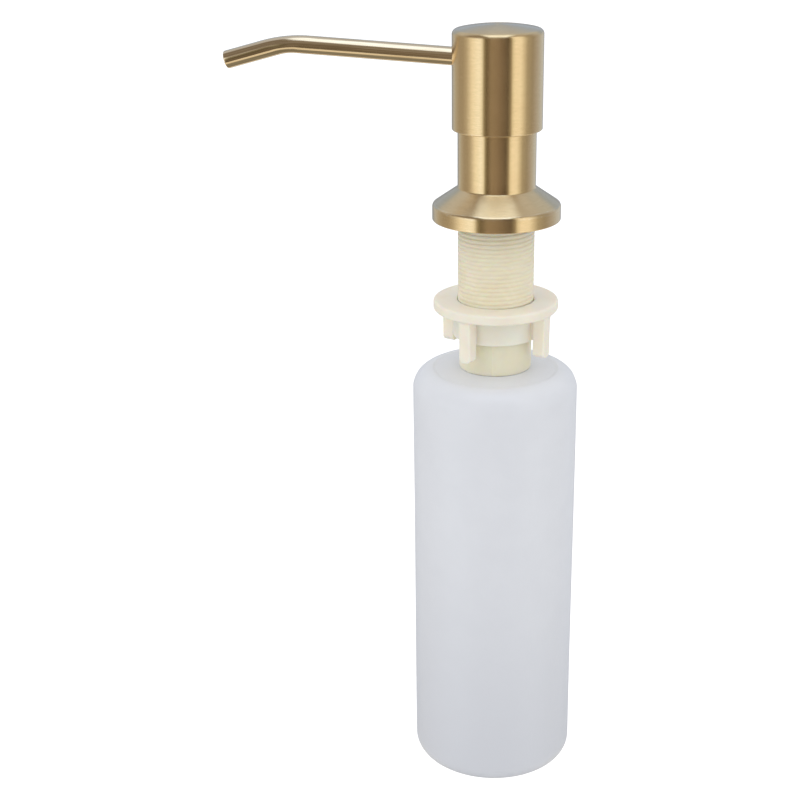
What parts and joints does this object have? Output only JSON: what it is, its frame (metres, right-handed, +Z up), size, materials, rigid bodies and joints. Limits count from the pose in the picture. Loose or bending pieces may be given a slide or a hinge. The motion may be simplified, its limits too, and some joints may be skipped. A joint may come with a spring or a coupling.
{
  "type": "soap pump dispenser",
  "caption": "Counter-mounted soap dispenser: press head with a long bent spout, lift-out pump, flanged collar, threaded shank with a wing nut, and a screw-on bottle below.",
  "frame": {"origin": "centre of the flange's underside, where it rests on the counter, on the pump's axis", "axes": "+Z up along the pump's axis, towards the press head; the spout points along -X; +Y completes the right-handed frame"},
  "size_m": [0.141, 0.0662, 0.3115],
  "materials": {
    "brushed_gold": "brushed gold coating on stainless steel",
    "polished_gold": "finely drawn gold coating on stainless tube",
    "ivory_plastic": "moulded ivory plastic",
    "nut_plastic": "moulded off-white plastic",
    "frosted_bottle": "frosted translucent polyethylene",
    "natural_plastic": "natural white plastic",
    "clear_tube": "translucent tube",
    "black_rubber": "matt rubber",
    "bright_steel": "bright spring steel and bearing steel"
  },
  "bodies": {
    "mount": {"collar": "brushed_gold", "base_gasket": "black_rubber", "threaded_shank": "ivory_plastic"},
    "pump": {"pump_plug": "natural_plastic", "stem_guide": "natural_plastic", "plug_seal": "black_rubber", "pump_cylinder": "natural_plastic", "ball_cage": "natural_plastic", "dip_tube": "clear_tube", "pump_spring": "bright_steel"},
    "plunger": {"stem": "natural_plastic", "piston": "natural_plastic", "piston_seat": "natural_plastic"},
    "head": {"head_shell": "brushed_gold", "head_insert": "natural_plastic", "spout_tube": "polished_gold", "spout_seal": "black_rubber"},
    "outlet_valve": {"outlet_ball": "bright_steel"},
    "inlet_valve": {"inlet_ball": "bright_steel"},
    "nut": {"wing_nut": "nut_plastic"},
    "bottle": {"bottle": "frosted_bottle"}
  },
  "joints": [
    {"name": "pump_lift", "type": "slide", "parent": "mount", "child": "pump", "axis": [0, 0, 1], "range_m": [0, 0.27]},
    {"name": "head_press", "type": "slide", "parent": "pump", "child": "plunger", "axis": [0, 0, -1], "range_m": [0, 0.016], "stiffness_N_per_m": 400, "springref_m": -0.012, "deforming": ["pump_spring"]},
    {"name": "head_swivel", "type": "hinge", "parent": "plunger", "child": "head", "pos_m": [0, 0, 0.0743], "axis": [0, 0, 1], "continuous": true},
    {"name": "outlet_valve_lift", "type": "slide", "parent": "plunger", "child": "outlet_valve", "axis": [0, 0, 1], "range_m": [0, 0.0015]},
    {"name": "inlet_valve_lift", "type": "slide", "parent": "pump", "child": "inlet_valve", "axis": [0, 0, 1], "range_m": [0, 0.0015]},
    {"name": "nut_travel", "type": "slide", "parent": "mount", "child": "nut", "axis": [0, 0, 1], "range_m": [-0.0074, 0.031]},
    {"name": "bottle_removal", "type": "slide", "parent": "mount", "child": "bottle", "axis": [0, 0, -1], "range_m": [0, 0.195]}
  ]
}
